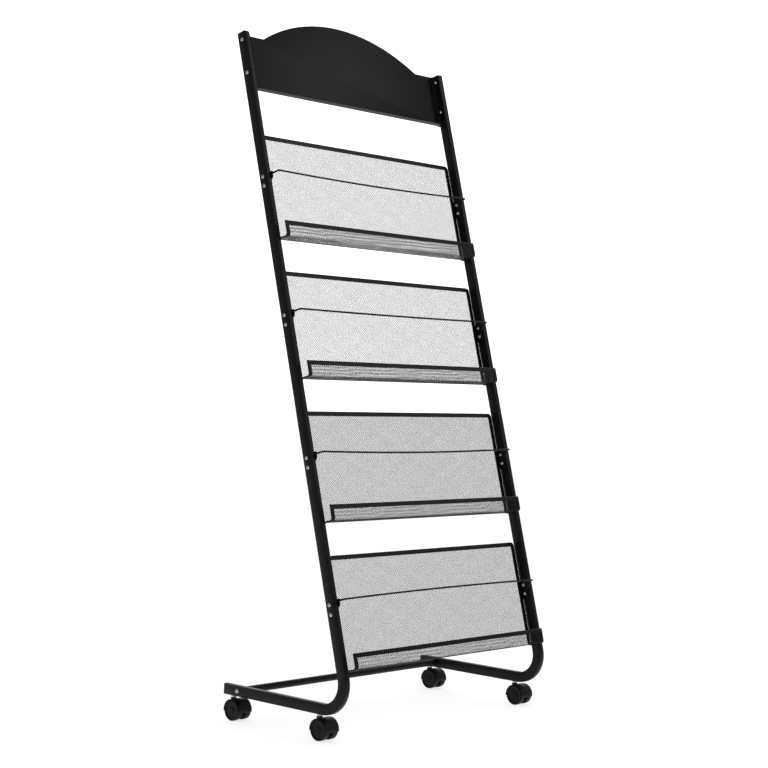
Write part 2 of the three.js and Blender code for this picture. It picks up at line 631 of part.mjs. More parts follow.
// Stem: a pin in the leg, a collar under it and a tail in the hood's boss
function casterStem() {
  const collarLow = bossTop + CLEARANCE;
  const collarHigh = legUnderside - CLEARANCE;
  const profile = [
    new THREE.Vector2(0, bossTop - STEM_TAIL_LENGTH),
    new THREE.Vector2(STEM_TAIL / 2, bossTop - STEM_TAIL_LENGTH),
    new THREE.Vector2(STEM_TAIL / 2, collarLow),
    new THREE.Vector2(STEM_COLLAR / 2, collarLow),
    new THREE.Vector2(STEM_COLLAR / 2, collarHigh),
    new THREE.Vector2(STEM_PIN / 2, collarHigh),
    new THREE.Vector2(STEM_PIN / 2, legUnderside + STEM_PIN_LENGTH),
    new THREE.Vector2(0, legUnderside + STEM_PIN_LENGTH),
  ];
  return new THREE.LatheGeometry(profile, 12).rotateX(Math.PI / 2);
}

// Wheel along +X: its inner face at X = 0, closed hub and ring recess on its outer face
function casterWheel() {
  const r = WHEEL_DIAMETER / 2;
  const w = WHEEL_WIDTH;
  const hub = AXLE_HUB;
  const rim = r - WHEEL_RIM;
  const bore = AXLE_DIAMETER / 2 + CLEARANCE;
  const deep = w - WHEEL_DISH;
  const profile = [
    new THREE.Vector2(0, deep),
    new THREE.Vector2(bore, deep),
    new THREE.Vector2(bore, 0),
    new THREE.Vector2(r - WHEEL_EDGE, 0),
    new THREE.Vector2(r, WHEEL_EDGE),
    new THREE.Vector2(r, w - WHEEL_EDGE),
    new THREE.Vector2(r - WHEEL_EDGE, w),
    new THREE.Vector2(rim + WHEEL_DISH / 2, w),
    new THREE.Vector2(rim, deep),
    new THREE.Vector2(hub, deep),
    new THREE.Vector2(hub - WHEEL_DISH / 2, w),
    new THREE.Vector2(0, w),
  ];
  return new THREE.LatheGeometry(profile, 20).rotateZ(-Math.PI / 2);
}

function casterAxle() {
  const half = wheelInner + WHEEL_WIDTH - WHEEL_DISH - CLEARANCE;
  return rodX(AXLE_DIAMETER / 2, -half, half, 0, 0, 12);
}

const hoodGeometry = casterHood();
const stemGeometry = casterStem();
const wheelGeometry = casterWheel();
const axleGeometry = casterAxle();
const corners = [
  ["front_left", -1, FRONT_CASTER],
  ["front_right", 1, FRONT_CASTER],
  ["rear_left", -1, rearCaster],
  ["rear_right", 1, rearCaster],
];
for (const [name, sign, y] of corners) {
  const caster = new THREE.Group();
  caster.position.set((sign * FRAME_SPACING) / 2, y, 0);
  rack.add(caster);
  piece(caster, "stem_" + name, stemGeometry, zinc);
  piece(caster, "hood_" + name, hoodGeometry, blackPlastic);
  piece(caster, "axle_" + name, axleGeometry, zinc).position.set(0, -CASTER_TRAIL, axleHeight);
  const outer = piece(caster, "wheel_a_" + name, wheelGeometry, wheelPlastic);
  outer.position.set(-wheelInner, -CASTER_TRAIL, axleHeight);
  outer.rotation.z = Math.PI;
  const inner = piece(caster, "wheel_b_" + name, wheelGeometry, wheelPlastic);
  inner.position.set(wheelInner, -CASTER_TRAIL, axleHeight);
}

// The part's origin lies on the floor under the middle of the whole rack
root.updateMatrixWorld(true);
const middle = new THREE.Box3().setFromObject(root, true).getCenter(new THREE.Vector3());
rack.position.y = -middle.y;

export default root;
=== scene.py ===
import json
import math

import bpy
import numpy as np
from mathutils import Matrix, Vector


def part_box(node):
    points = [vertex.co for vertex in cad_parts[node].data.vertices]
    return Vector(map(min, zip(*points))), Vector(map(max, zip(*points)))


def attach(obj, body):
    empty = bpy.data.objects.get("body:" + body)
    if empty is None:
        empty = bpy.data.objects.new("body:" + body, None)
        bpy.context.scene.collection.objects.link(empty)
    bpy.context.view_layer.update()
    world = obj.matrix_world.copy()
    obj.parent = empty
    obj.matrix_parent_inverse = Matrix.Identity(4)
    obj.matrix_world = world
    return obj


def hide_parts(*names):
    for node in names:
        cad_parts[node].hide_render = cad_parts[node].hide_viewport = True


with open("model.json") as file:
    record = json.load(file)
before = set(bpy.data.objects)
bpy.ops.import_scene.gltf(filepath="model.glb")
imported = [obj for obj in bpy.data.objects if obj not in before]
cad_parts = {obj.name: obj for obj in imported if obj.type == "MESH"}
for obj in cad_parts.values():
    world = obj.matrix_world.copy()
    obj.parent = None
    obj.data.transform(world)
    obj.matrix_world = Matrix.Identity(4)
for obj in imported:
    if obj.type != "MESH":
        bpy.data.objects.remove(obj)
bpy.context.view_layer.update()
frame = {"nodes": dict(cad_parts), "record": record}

MM = 0.001
QUARTER = math.pi / 2

# The rack's own frame, in millimetres: S runs along the posts from where post and leg centre lines meet,
# N runs square to them, backwards. The front caster's stem gives the origin in the part's frame.
LEAN = math.radians(15.0)
FRONT_CASTER = 79.0
LEG_HEIGHT = 59.5
stem_low, stem_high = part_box("stem_front_left")
RACK_Y = (stem_low.y + stem_high.y) / 2 / MM - FRONT_CASTER

# Posts, and the pockets and header between them
POST_X = 300.0
TUBE_WIDTH = 13.0
POST_INNER = POST_X - TUBE_WIDTH / 2
POST_OUTER = POST_X + TUBE_WIDTH / 2
CLEARANCE = 0.3
BRACKET_SHEET = 1.6
HEADER_SHEET = 1.5
POCKET_SIDE_GAP = 2.2
POCKET_COUNT = 4
POCKET_PITCH = 290.0
LOWEST_POCKET = 306.5
POCKET_TOPS = [LOWEST_POCKET + POCKET_PITCH * k for k in reversed(range(POCKET_COUNT))]


def place(x, s, n):
    """Points of the leaning frame, in millimetres, as points of the part's frame, in metres."""
    x, s, n = np.broadcast_arrays(np.asarray(x, float), np.asarray(s, float), np.asarray(n, float))
    y = s * math.sin(LEAN) + n * math.cos(LEAN) + RACK_Y
    z = LEG_HEIGHT + s * math.cos(LEAN) - n * math.sin(LEAN)
    return np.stack([x, y, z], -1) * MM


def arc(centre, radii, start, sweep, steps):
    """Points from the angle start through sweep, with both ends; radii is one, or one for each axis."""
    across, along = np.broadcast_to(radii, 2)
    angles = [start + sweep * k / steps for k in range(steps + 1)]
    return [(centre[0] + across * math.cos(a), centre[1] + along * math.sin(a)) for a in angles]


def once_round(steps):
    """Equal angles once round, without the last, which is the first again."""
    return np.linspace(0.0, math.tau, steps, endpoint=False)


# Camera, from the fit to the photograph's straight edges. Its place is in millimetres from the floor, midway
# between the points where post and leg centre lines meet.
FOCAL_PIXELS = 1692.96
IMAGE_WIDTH = 768
SENSOR = 36.0
CLIP_NEAR = 0.05
CLIP_FAR = 200.0
CAMERA_RACK = (-2615.34, -2252.62, 688.45)
CAMERA_YAW = math.radians(-46.6455)
CAMERA_PITCH = math.radians(0.0586)
CAMERA_ROLL = math.radians(1.6619)

look = Vector((
    -math.sin(CAMERA_YAW) * math.cos(CAMERA_PITCH),
    math.cos(CAMERA_YAW) * math.cos(CAMERA_PITCH),
    math.sin(CAMERA_PITCH),
))
level = Vector((math.cos(CAMERA_YAW), math.sin(CAMERA_YAW), 0.0))
above = level.cross(look)
right = level * math.cos(CAMERA_ROLL) + above * math.sin(CAMERA_ROLL)
up = above * math.cos(CAMERA_ROLL) - level * math.sin(CAMERA_ROLL)
camera_data = bpy.data.cameras.new("camera")
camera_data.sensor_width = SENSOR
camera_data.lens = FOCAL_PIXELS * SENSOR / IMAGE_WIDTH
camera_data.clip_start = CLIP_NEAR
camera_data.clip_end = CLIP_FAR
camera = bpy.data.objects.new("camera", camera_data)
turn = Matrix((right, up, -look)).transposed().to_4x4()
x, y, z = CAMERA_RACK
camera.matrix_world = Matrix.Translation(Vector((x, y + RACK_Y, z)) * MM) @ turn
bpy.context.scene.collection.objects.link(camera)
bpy.context.scene.camera = camera


# Materials
NOISE_SPAN = (0.3, 0.7)
MEAN_SPAN = (0.36, 0.64)
SLOW_SCALE = 7.0
DULLER = 0.06
GLOSSIER = 0.05
BUMP_STRENGTH = 0.35


def new_material(name):
    material = bpy.data.materials.new(name)
    material.use_nodes = True
    tree = material.node_tree
    tree.nodes.clear()
    output = tree.nodes.new("ShaderNodeOutputMaterial")
    shader = tree.nodes.new("ShaderNodeBsdfPrincipled")
    tree.links.new(shader.outputs["BSDF"], output.inputs["Surface"])
    return material, tree, shader


def noise(tree, coordinates, scale, detail, roughness=0.5):
    node = tree.nodes.new("ShaderNodeTexNoise")
    node.inputs["Scale"].default_value = scale
    node.inputs["Detail"].default_value = detail
    node.inputs["Roughness"].default_value = roughness
    tree.links.new(coordinates, node.inputs["Vector"])
    return node.outputs["Fac"]


def spread(tree, value, span, low, high):
    """A number from low to high as the value crosses the span."""
    node = tree.nodes.new("ShaderNodeMapRange")
    for name, number in zip(("From Min", "From Max", "To Min", "To Max"), (*span, low, high)):
        node.inputs[name].default_value = number
    tree.links.new(value, node.inputs["Value"])
    return node.outputs["Result"]


def ramp(tree, value, span, dark, light):
    """A colour from dark to light as the value crosses the span."""
    node = tree.nodes.new("ShaderNodeValToRGB")
    for element, position, colour in zip(node.color_ramp.elements, span, (dark, light)):
        element.position = position
        element.color = (*colour, 1.0)
    tree.links.new(value, node.inputs["Fac"])
    return node.outputs["Color"]


def mean(tree, first, second):
    total = tree.nodes.new("ShaderNodeMath")
    total.operation = "ADD"
    tree.links.new(first, total.inputs[0])
    tree.links.new(second, total.inputs[1])
    half = tree.nodes.new("ShaderNodeMath")
    half.operation = "MULTIPLY"
    half.inputs[1].default_value = 0.5
    tree.links.new(total.outputs[0], half.inputs[0])
    return half.outputs[0]


def coated(name, dark, light, rough, specular, grain, grain_depth, metallic=0.0, uneven=1.0):
    """A coated or moulded surface: a fine grain in bump and colour, and slow changes in gloss."""
    material, tree, shader = new_material(name)
    coordinates = tree.nodes.new("ShaderNodeTexCoord").outputs["Object"]
    fine = noise(tree, coordinates, grain, detail=3.0, roughness=0.6)
    slow = noise(tree, coordinates, SLOW_SCALE, detail=3.0, roughness=0.55)
    colour = ramp(tree, mean(tree, fine, slow), MEAN_SPAN, dark, light)
    tree.links.new(colour, shader.inputs["Base Color"])
    gloss = spread(tree, slow, NOISE_SPAN, rough - GLOSSIER * uneven, rough + DULLER * uneven)
    tree.links.new(gloss, shader.inputs["Roughness"])
    bump = tree.nodes.new("ShaderNodeBump")
    bump.inputs["Strength"].default_value = BUMP_STRENGTH
    bump.inputs["Distance"].default_value = grain_depth
    tree.links.new(fine, bump.inputs["Height"])
    tree.links.new(bump.outputs["Normal"], shader.inputs["Normal"])
    shader.inputs["Specular IOR Level"].default_value = specular
    shader.inputs["Metallic"].default_value = metallic
    return material


# Finish of each material slot; grain is in cells per metre, and grain depth in metres
finishes = {
    "black_paint": coated(
        "black_powder_coat", dark=(0.0035, 0.0035, 0.0037), light=(0.0060, 0.0060, 0.0062),
        rough=0.36, specular=0.14, grain=900.0, grain_depth=6e-5,
    ),
    "mesh_paint": coated(
        "mesh_powder_coat", dark=(0.006, 0.006, 0.0062), light=(0.012, 0.012, 0.0122),
        rough=0.42, specular=0.3, grain=1200.0, grain_depth=4e-5,
    ),
    "header_paint": coated(
        "header_powder_coat", dark=(0.0046, 0.0046, 0.0047), light=(0.0066, 0.0066, 0.0067),
        rough=0.32, specular=0.065, grain=1100.0, grain_depth=8e-5, uneven=0.3,
    ),
    "cap_plastic": coated(
        "cap_plastic", dark=(0.004, 0.004, 0.0042), light=(0.008, 0.008, 0.0082),
        rough=0.5, specular=0.2, grain=1500.0, grain_depth=6e-5,
    ),
    "hood_plastic": coated(
        "hood_plastic", dark=(0.0025, 0.0025, 0.0026), light=(0.0048, 0.0048, 0.005),
        rough=0.4, specular=0.15, grain=1300.0, grain_depth=5e-5,
    ),
    "wheel_plastic": coated(
        "wheel_plastic", dark=(0.0028, 0.0028, 0.003), light=(0.006, 0.006, 0.0062),
        rough=0.45, specular=0.15, grain=1000.0, grain_depth=5e-5,
    ),
    "zinc": coated(
        "zinc_plate", dark=(0.42, 0.43, 0.44), light=(0.58, 0.59, 0.60),
        rough=0.30, specular=0.5, grain=700.0, grain_depth=3e-5, metallic=1.0,
    ),
}

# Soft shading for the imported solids: their triangles come apart, so they are joined and shaded by angle
SMOOTH_BELOW = 38.0
MERGE_DISTANCE = 2e-6


def shading_group(degrees):
    group = bpy.data.node_groups.new("soft_shading", "GeometryNodeTree")
    group.interface.new_socket("Geometry", in_out="INPUT", socket_type="NodeSocketGeometry")
    group.interface.new_socket("Geometry", in_out="OUTPUT", socket_type="NodeSocketGeometry")
    start = group.nodes.new("NodeGroupInput")
    end = group.nodes.new("NodeGroupOutput")
    merge = group.nodes.new("GeometryNodeMergeByDistance")
    merge.inputs["Distance"].default_value = MERGE_DISTANCE
    faces = group.nodes.new("GeometryNodeSetShadeSmooth")
    faces.domain = "FACE"
    edges = group.nodes.new("GeometryNodeSetShadeSmooth")
    edges.domain = "EDGE"
    angle = group.nodes.new("GeometryNodeInputMeshEdgeAngle")
    compare = group.nodes.new("FunctionNodeCompare")
    compare.data_type = "FLOAT"
    compare.operation = "LESS_THAN"
    compare.inputs[1].default_value = math.radians(degrees)
    group.links.new(start.outputs[0], merge.inputs["Geometry"])
    group.links.new(merge.outputs["Geometry"], faces.inputs["Geometry"])
    group.links.new(faces.outputs["Geometry"], edges.inputs["Geometry"])
    group.links.new(angle.outputs["Unsigned Angle"], compare.inputs[0])
    group.links.new(compare.outputs["Result"], edges.inputs["Shade Smooth"])
    group.links.new(edges.outputs["Geometry"], end.inputs[0])
    return group


soft_shading = shading_group(SMOOTH_BELOW)
slots_of = {row["node"]: row["material_slot"] for row in frame["record"]["subparts"]}
for name, node in frame["nodes"].items():
    node.data.materials.clear()
    node.data.materials.append(finishes[slots_of[name]])
    modifier = node.modifiers.new("soft_shading", "NODES")
    modifier.node_group = soft_shading


# New pieces
def new_object(name, points, faces):
    mesh = bpy.data.meshes.new(name)
    mesh.from_pydata([tuple(p) for p in np.asarray(points, float)], [], [tuple(f) for f in faces])
    obj = bpy.data.objects.new(name, mesh)
    bpy.context.scene.collection.objects.link(obj)
    return obj


def add_piece(name, points, faces, slot, body, smooth=SMOOTH_BELOW):
    """A piece that rides on a body. Edges below smooth, in degrees, are shaded soft, and none at 0."""
    obj = new_object(name, points, faces)
    mesh = obj.data
    mesh.validate()
    mesh.materials.append(finishes[slot])
    if smooth:
        mesh.shade_smooth()
        mesh.set_sharp_from_angle(angle=math.radians(smooth))
    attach(obj, body)
    return obj


def loft(rings, closed=False):
    """Points and faces through rings of equal length, which either close on themselves or are capped."""
    size = len(rings[0])
    faces = []
    for k in range(len(rings) if closed else len(rings) - 1):
        a = k * size
        b = ((k + 1) % len(rings)) * size
        for i in range(size):
            j = (i + 1) % size
            faces.append((a + i, a + j, b + j, b + i))
    if not closed:
        last = (len(rings) - 1) * size
        faces.append(tuple(reversed(range(size))))
        faces.append(tuple(last + i for i in range(size)))
    return np.concatenate(rings), faces


# Pocket sheet, unrolled: U runs across the rack, V from the back's upper edge down the back, along the
# floor and up the lip
RIM_THICKNESS = 3.2
POCKET_HALF = POST_INNER - POCKET_SIDE_GAP
BACK_SETBACK = 11.0
BACK_HEIGHT = 227.5
FLOOR_DEPTH = 39.6
LIP_HEIGHT = 33.0
BEND = 6.0
BACK_N = BACK_SETBACK - RIM_THICKNESS / 2
LIP_N = BACK_SETBACK - FLOOR_DEPTH + RIM_THICKNESS / 2
BACK_RUN = BACK_HEIGHT - RIM_THICKNESS / 2 - BEND
BEND_RUN = BEND * QUARTER
FLOOR_RUN = BACK_N - LIP_N - 2 * BEND
LIP_RUN = LIP_HEIGHT - RIM_THICKNESS / 2 - BEND
V_MARKS = np.cumsum([0.0, BACK_RUN, BEND_RUN, FLOOR_RUN, BEND_RUN, LIP_RUN])
BACK_END, FLOOR_START, FLOOR_END, LIP_START, SHEET_LENGTH = V_MARKS[1:]
STATION_GAP = 1e-6


def sheet_points(u, v, lift, top):
    """Points at a lift off the bent sheet's middle, in the pocket whose upper edge lies at top."""
    rear_bend = np.clip((v - BACK_END) / BEND, 0.0, QUARTER)
    floor = np.clip(v - FLOOR_START, 0.0, FLOOR_RUN)
    front_bend = np.clip((v - FLOOR_END) / BEND, 0.0, QUARTER)
    lip = np.maximum(v - LIP_START, 0.0)
    s = -np.minimum(v, BACK_END) - BEND * np.sin(rear_bend) + BEND * (1.0 - np.cos(front_bend)) + lip
    n = BACK_N - BEND * (1.0 - np.cos(rear_bend)) - floor - BEND * np.sin(front_bend)
    bent = rear_bend + front_bend
    return place(u, top + s - lift * np.sin(bent), n + lift * np.cos(bent))


def bend_stations(low, high, steps):
    """The places along V where the sheet bends, with steps in each bend, and both ends, low and high."""
    inner = np.concatenate([
        np.linspace(BACK_END, FLOOR_START, steps + 1),
        np.linspace(FLOOR_END, LIP_START, steps + 1),
    ])
    inner = inner[(inner > low + STATION_GAP) & (inner < high - STATION_GAP)]
    return np.concatenate([[low], inner, [high]])


# Fine mesh: two families of flat strands that cross in diamonds. Their spacing drifts slowly along the
# sheet. On the lip they are finer and lie flatter, and they are finest on the two lower pockets.
CELL_WIDTH = 5.7
CELL_HEIGHT = 3.06
LIP_CELL_HEIGHT = 2.1
SHEET_INSET = 1.3
STRAND_DEPTH = 0.36
STRAND_SHIFT = 0.09
STRAND_WIDTH = 0.65
LIP_STRAND_WIDTHS = (0.39, 0.37, 0.21, 0.21)
STRAND_BEND_STEPS = 3
SHORTEST_STRAND = 1.0
DRIFT = 0.3
DRIFT_LENGTHS = (110.0, 67.0)


def strand_mesh(top, lip_width):
    """Points and faces of all the strands of the pocket whose upper edge lies at top."""
    half = POCKET_HALF - SHEET_INSET
    marks = np.array([SHEET_INSET, FLOOR_END, SHEET_LENGTH - SHEET_INSET])
    slopes = CELL_WIDTH / np.array([CELL_HEIGHT, LIP_CELL_HEIGHT])
    runs = np.concatenate([[0.0], np.cumsum(slopes * np.diff(marks))])
    reach = half + runs[-1]
    points, faces, count = [], [], 0
    for sign in (-1.0, 1.0):
        starts = np.arange(-reach, reach + CELL_WIDTH, CELL_WIDTH)
        for length in DRIFT_LENGTHS:
            starts = starts + DRIFT * np.sin(math.tau * starts / length + sign)
        for start in starts:
            # u = start + sign * the run at v, kept inside the sheet
            ends = sorted(sign * (edge - start) for edge in (-half, half))
            if ends[0] >= runs[-1] or ends[1] <= 0.0:
                continue
            first, last = np.interp(ends, runs, marks)
            if last - first < SHORTEST_STRAND:
                continue
            v = bend_stations(first, last, STRAND_BEND_STEPS)
            u = start + sign * np.interp(v, marks, runs)
            width = np.where(v > FLOOR_END, lip_width, STRAND_WIDTH)
            slope = np.where(v > FLOOR_END, slopes[1], slopes[0])
            du = width / 2 / np.hypot(slope, 1.0)
            dv = -sign * slope * du
            edges = []
            for side, raised in ((-1, -1), (1, -1), (1, 1), (-1, 1)):
                lift = raised * STRAND_DEPTH / 2 + sign * STRAND_SHIFT
                edges.append(sheet_points(u + side * du, v + side * dv, lift, top))
            new_points, new_faces = loft(np.stack(edges, 1))
            points.append(new_points)
            faces.extend(tuple(i + count for i in face) for face in new_faces)
            count += len(new_points)
    return np.concatenate(points), faces


for i, top in enumerate(POCKET_TOPS):
    points, faces = strand_mesh(top, LIP_STRAND_WIDTHS[i])
    piece = add_piece(f"fine_mesh_{i + 1}", points, faces, "mesh_paint", "frame", smooth=0)
    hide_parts(f"pocket_mesh_{i + 1}")

# Folded rim round each sheet: a hem with a round fold outside and a slot for the mesh inside
HEM_WIDTH = 9.0
HEM_SHEET = 0.8
HEM_EDGE = 0.15
HEM_SMOOTH = 30.0
HEM_BEND_STEPS = 8
OUTER_FOLD_STEPS = 8
INNER_FOLD_STEPS = 6
BACK_CORNER = 9.0
CORNER_STEPS = 8


def hem_section():
    """(distance in from the edge, height off the sheet's middle) round the hem's folded strip."""
    outer = RIM_THICKNESS / 2
    inner = outer - HEM_SHEET
    section = [(HEM_WIDTH, inner), (HEM_WIDTH, outer - HEM_EDGE), (HEM_WIDTH - HEM_EDGE, outer)]
    section += arc((outer, 0.0), outer, QUARTER, math.pi, OUTER_FOLD_STEPS)
    section += [(HEM_WIDTH - HEM_EDGE, -outer), (HEM_WIDTH, -outer + HEM_EDGE), (HEM_WIDTH, -inner)]
    section += arc((outer, 0.0), inner, -QUARTER, -math.pi, INNER_FOLD_STEPS)
    return np.array(section)


def hem_path():
    """(U, V, inward U, inward V) along the edge: down the right half, and back up its mirror image."""
    middle = (POCKET_HALF - BACK_CORNER, BACK_CORNER)
    path = []
    for u, v in arc(middle, BACK_CORNER, -QUARTER, QUARTER, CORNER_STEPS):
        path.append((u, v, (middle[0] - u) / BACK_CORNER, (middle[1] - v) / BACK_CORNER))
    side = bend_stations(BACK_CORNER, SHEET_LENGTH, HEM_BEND_STEPS)[1:-1]
    path += [(POCKET_HALF, v, -1.0, 0.0) for v in side]
    path.append((POCKET_HALF, SHEET_LENGTH, -1.0, -1.0))
    return path + [(-u, v, -inward_u, inward_v) for u, v, inward_u, inward_v in reversed(path)]


inset, height = hem_section().T
for i, top in enumerate(POCKET_TOPS):
    rings = []
    for u, v, inward_u, inward_v in hem_path():
        rings.append(sheet_points(u + inset * inward_u, v + inset * inward_v, height, top))
    points, faces = loft(rings, closed=True)
    piece = add_piece(f"folded_rim_{i + 1}", points, faces, "black_paint", "frame", HEM_SMOOTH)
    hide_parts(f"pocket_rim_{i + 1}")

# Guard wires, with the sag of each one
WIRE_RADIUS = 1.9
WIRE_DROP = 89.7
WIRE_REACH = 29.4
WIRE_CORNER = 5.5
WIRE_END = -5.0
WIRE_SAGS = (4.2, 1.5, 4.2, -2.6)
WIRE_STEPS = 24
WIRE_SIDES = 14


def wire_path(sag):
    """(X, S below the pocket's upper edge, N) from the wire's left end to its right."""
    half = POCKET_HALF - WIRE_RADIUS
    run = half - WIRE_CORNER
    corner = arc((-run, -WIRE_REACH + WIRE_CORNER), WIRE_CORNER, math.pi, QUARTER, CORNER_STEPS)
    left = [(-half, -WIRE_DROP, WIRE_END)] + [(x, -WIRE_DROP, n) for x, n in corner]
    right = [(-x, s, n) for x, s, n in reversed(left)]
    middle = []
    for k in range(1, WIRE_STEPS):
        share = 2 * k / WIRE_STEPS - 1
        middle.append((run * share, -WIRE_DROP - sag * (1 - share ** 2), -WIRE_REACH))
    return np.array(left + middle + right)


def tube(path, radius, sides):
    """Rings round a path of points, each turned from the last by the least turn."""
    along = np.gradient(path, axis=0)
    along /= np.linalg.norm(along, axis=1)[:, None]
    side = np.cross(along[0], (0.0, 1.0, 0.0))
    angles = once_round(sides)[:, None]
    rings = []
    for point, direction in zip(path, along):
        side = side - direction * (side @ direction)
        side /= np.linalg.norm(side)
        other = np.cross(direction, side)
        rings.append(point + radius * (np.cos(angles) * side + np.sin(angles) * other))
    return rings


for i, top in enumerate(POCKET_TOPS):
    rings = tube(wire_path(WIRE_SAGS[i]), WIRE_RADIUS, WIRE_SIDES)
    points, faces = loft([place(r[:, 0], top + r[:, 1], r[:, 2]) for r in rings])
    piece = add_piece(f"guard_wire_round_{i + 1}", points, faces, "black_paint", "frame")
    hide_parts(f"guard_wire_{i + 1}")

# Bolts through the posts: a button head with a hexagon socket outside, a cap nut inside
HEAD_RADIUS = 4.0
HEAD_HEIGHT = 2.5
HEAD_RIM = 0.35
HEAD_FLAT = 2.1
HEAD_ARC_MIDDLE = 1.9
SOCKET_FLATS = 3.0
SOCKET_DEPTH = 1.5
SOCKET_CONE = 0.2
SOCKET_TIP = 0.2
NUT_FLATS = 7.0
NUT_HEIGHT = 3.0
NUT_CHAMFER = 0.5
NUT_TOP_MARGIN = 0.05
DOME_STEP = 0.1
DOME_RADIUS = 3.1
DOME_HEIGHT = 2.48
DOME_TIP = 0.15
HEAD_ARC_STEPS = 7
DOME_STEPS = 6
BOLT_STEPS = 24
BOLT_SMOOTH = 32.0


def hexagon_radius(angles, flats):
    """Distance from a hexagon's middle to its edge at each angle."""
    return flats / 2 / np.cos((angles % (math.pi / 3)) - math.pi / 6)


def turned(profile, angles):
    """Rings about the first axis from (place along it, radius at each angle)."""
    rings = []
    for along, radius in profile:
        places = np.full(angles.shape, along)
        rings.append(np.stack([places, radius * np.cos(angles), radius * np.sin(angles)], -1))
    return rings


def bolt_head():
    """Rings from the head's seat outwards, along the first axis from 0, and down into its socket."""
    angles = once_round(BOLT_STEPS)
    socket = hexagon_radius(angles, SOCKET_FLATS)
    radii = (HEAD_HEIGHT - HEAD_RIM, HEAD_RADIUS - HEAD_ARC_MIDDLE)
    profile = [(0.0, HEAD_RADIUS), (HEAD_RIM, HEAD_RADIUS)]
    profile += arc((HEAD_RIM, HEAD_ARC_MIDDLE), radii, QUARTER, -QUARTER, HEAD_ARC_STEPS)[1:-1]
    profile += [(HEAD_HEIGHT, HEAD_FLAT), (HEAD_HEIGHT, socket), (HEAD_HEIGHT - SOCKET_DEPTH, socket)]
    profile.append((HEAD_HEIGHT - SOCKET_DEPTH - SOCKET_CONE, SOCKET_TIP))
    return turned(profile, angles)


def cap_nut():
    """Rings from the nut's seat inwards, along the first axis from 0."""
    angles = once_round(BOLT_STEPS)
    flats = hexagon_radius(angles, NUT_FLATS)
    upper = np.minimum(flats, NUT_FLATS / 2 + NUT_TOP_MARGIN)
    foot = NUT_HEIGHT + DOME_STEP
    profile = [(0.0, flats), (NUT_HEIGHT - NUT_CHAMFER, flats), (NUT_HEIGHT, upper)]
    profile += arc((foot, 0.0), (DOME_HEIGHT, DOME_RADIUS), QUARTER, -QUARTER, DOME_STEPS)[:-1]
    profile.append((foot + DOME_HEIGHT, DOME_TIP))
    return turned(profile, angles)


def fastener(name, rings, x, sign, s, n):
    """A head or nut that is seated at (x, s, n) and faces right or left, as sign is 1 or -1."""
    moved = [place(x + sign * r[:, 0], s + r[:, 1], n + sign * r[:, 2]) for r in rings]
    points, faces = loft(moved)
    add_piece(name, points, faces, "zinc", "frame", BOLT_SMOOTH)


POCKET_BOLTS = (96.0, 115.3)
POCKET_BOLT_N = 0.0
BRACKET_INNER = POST_INNER - CLEARANCE - BRACKET_SHEET
HEADER_BOLTS = (1376.5, 1304.4)
HEADER_BOLT_N = -1.5
FLANGE_INNER = POST_INNER - CLEARANCE - HEADER_SHEET
head_rings = bolt_head()
nut_rings = cap_nut()
for side, sign in (("left", -1), ("right", 1)):
    for i, top in enumerate(POCKET_TOPS):
        for letter, drop in zip("ab", POCKET_BOLTS):
            label = f"{side}_{i + 1}{letter}"
            s = top - drop
            fastener(f"pocket_bolt_{label}", head_rings, sign * POST_OUTER, sign, s, POCKET_BOLT_N)
            fastener(f"pocket_nut_{label}", nut_rings, sign * BRACKET_INNER, -sign, s, POCKET_BOLT_N)
    for letter, s in zip("ab", HEADER_BOLTS):
        fastener(f"header_bolt_{side}_{letter}", head_rings, sign * POST_OUTER, sign, s, HEADER_BOLT_N)
        fastener(f"header_nut_{side}_{letter}", nut_rings, sign * FLANGE_INNER, -sign, s, HEADER_BOLT_N)

# Casters: hoods with rounded edges and a web between the wheels, and wheels with rounded treads.
# Their sizes are in millimetres from the point on the floor under the stem.
CORNERS = ("front_left", "front_right", "rear_left", "rear_right")
CASTER_TRAIL = 13.0
CASTER_SMOOTH = 34.0
WHEEL_RADIUS = 21.0
WHEEL_WIDTH = 13.0
WHEEL_INNER = 5.5
WHEEL_DISH = 2.0
WHEEL_STEPS = 72
TREAD_CROWN = 0.12
TREAD_EDGE = 1.6
TREAD_EDGE_STEPS = 6
BORE_EDGE = 0.4
WHEEL_TIP = 0.15
HOOD_INNER = 21.8
HOOD_OUTER = 23.3
HOOD_MIDDLE = (HOOD_INNER + HOOD_OUTER) / 2
HOOD_HALF = 18.5
HOOD_CROWN = 0.45
HOOD_EDGE = 0.7
HOOD_EDGE_STEPS = 4
HOOD_CHAMFER = 0.2
HOOD_END = 0.35
HOOD_END_SHARE = 0.65
HOOD_SKIRT = math.radians(8.0)
HOOD_STEPS = 60
CROWN_STEPS = 12
WEB_HALF = 5.0
HUB_RADIUS = 7.0
HUB_STEPS = 24
AXLE_HOLE = 2.3
AXLE_HOLE_STEPS = 32
BOSS_RADIUS = 6.0
BOSS_TOP = 44.8
BOSS_EDGE = 0.8
BOSS_EDGE_STEPS = 4
BOSS_STEPS = 48
STEM_HOLE = 3.3
STEM_HOLE_DEPTH = 14.3
STEM_HOLE_STEPS = 40
WHEEL_ROOM_STEPS = 96
CUT_MARGIN = 2.0


def blank(points, faces):
    """A working solid that is joined into a piece and then removed."""
    return new_object("blank", np.asarray(points, float) * MM, faces)


